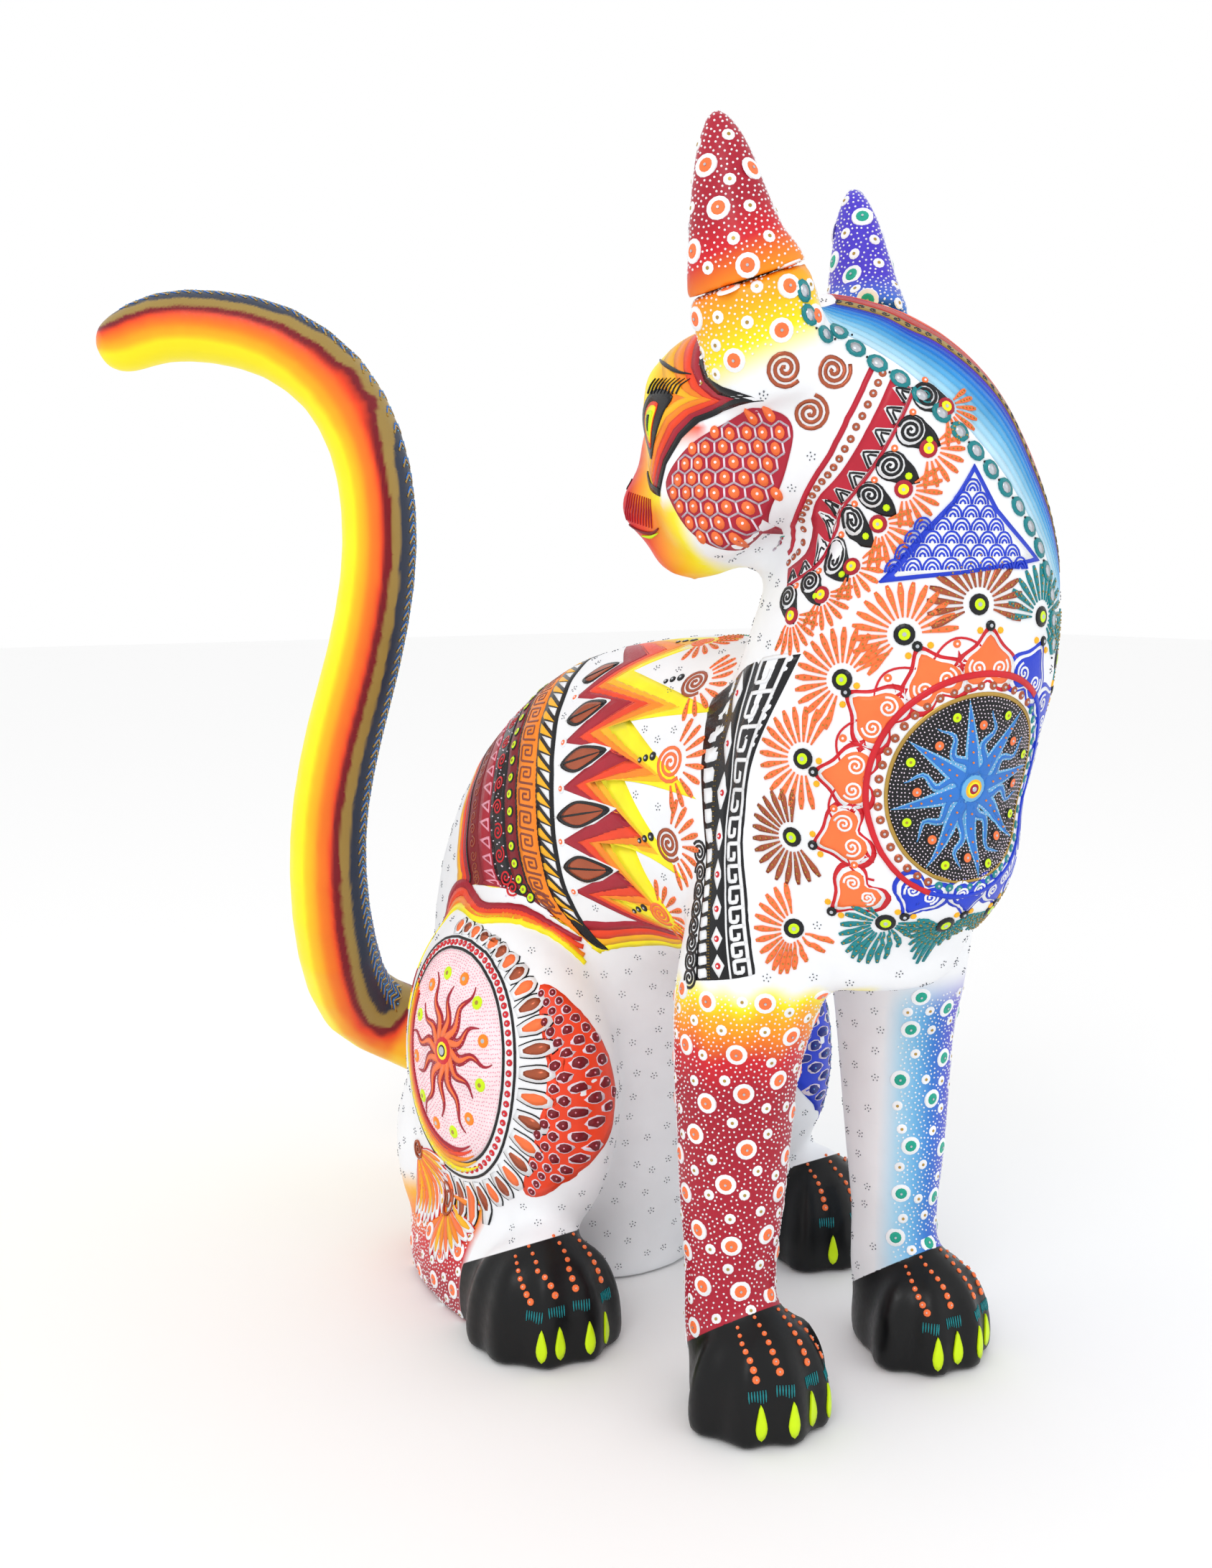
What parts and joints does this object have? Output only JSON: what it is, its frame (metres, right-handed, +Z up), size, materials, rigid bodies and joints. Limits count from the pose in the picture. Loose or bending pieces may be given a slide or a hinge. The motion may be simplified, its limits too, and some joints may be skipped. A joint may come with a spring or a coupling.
{
  "type": "carved wooden cat figure",
  "caption": "Seated cat figure in carved and painted wood that looks back over its shoulder, with pull-out ears and an S-shaped tail on wooden pegs.",
  "frame": {"origin": "middle of the foot of the whole figure's box, on the surface that the cat sits on", "axes": "+Z up and along the figure's height, -Y the way the chest faces, +X towards the cat's left side"},
  "size_m": [0.258, 0.3706, 0.4269],
  "materials": {
    "white_ground": "matt white acrylic ground with fine painted ornament, on carved copal wood",
    "red_side": "satin acrylic in yellow, orange and reds with white dots, on carved copal wood",
    "blue_side": "satin acrylic in pale to violet blue with teal dots, on carved copal wood",
    "tail_paint": "slightly glossy acrylic blended along the tail, on carved copal wood",
    "peg_wood": "bare turned softwood"
  },
  "bodies": {
    "carcass": {"torso": "white_ground", "head_neck": "white_ground", "foreleg_right": "red_side", "foreleg_left": "blue_side", "hind_leg_right": "red_side", "hind_leg_left": "blue_side", "neck_dowel_front": "peg_wood", "neck_dowel_rear": "peg_wood", "foreleg_dowel_right_front": "peg_wood", "foreleg_dowel_right_rear": "peg_wood", "foreleg_dowel_left_front": "peg_wood", "foreleg_dowel_left_rear": "peg_wood", "hind_leg_dowel_right_front": "peg_wood", "hind_leg_dowel_right_rear": "peg_wood", "hind_leg_dowel_left_front": "peg_wood", "hind_leg_dowel_left_rear": "peg_wood"},
    "tail": {"tail": "tail_paint", "tail_peg": "peg_wood"},
    "ear_left": {"ear_left": "red_side", "ear_left_peg": "peg_wood"},
    "ear_right": {"ear_right": "blue_side", "ear_right_peg": "peg_wood"}
  },
  "joints": [
    {"name": "tail_pull", "type": "slide", "parent": "carcass", "child": "tail", "axis": [-0.4198, 0.8896, 0.1799], "range_m": [0, 0.04]},
    {"name": "ear_left_pull", "type": "slide", "parent": "carcass", "child": "ear_left", "axis": [-0.321, 0.0723, 0.9443], "range_m": [0, 0.022]},
    {"name": "ear_right_pull", "type": "slide", "parent": "carcass", "child": "ear_right", "axis": [0.3396, 0.2869, 0.8957], "range_m": [0, 0.022]}
  ]
}
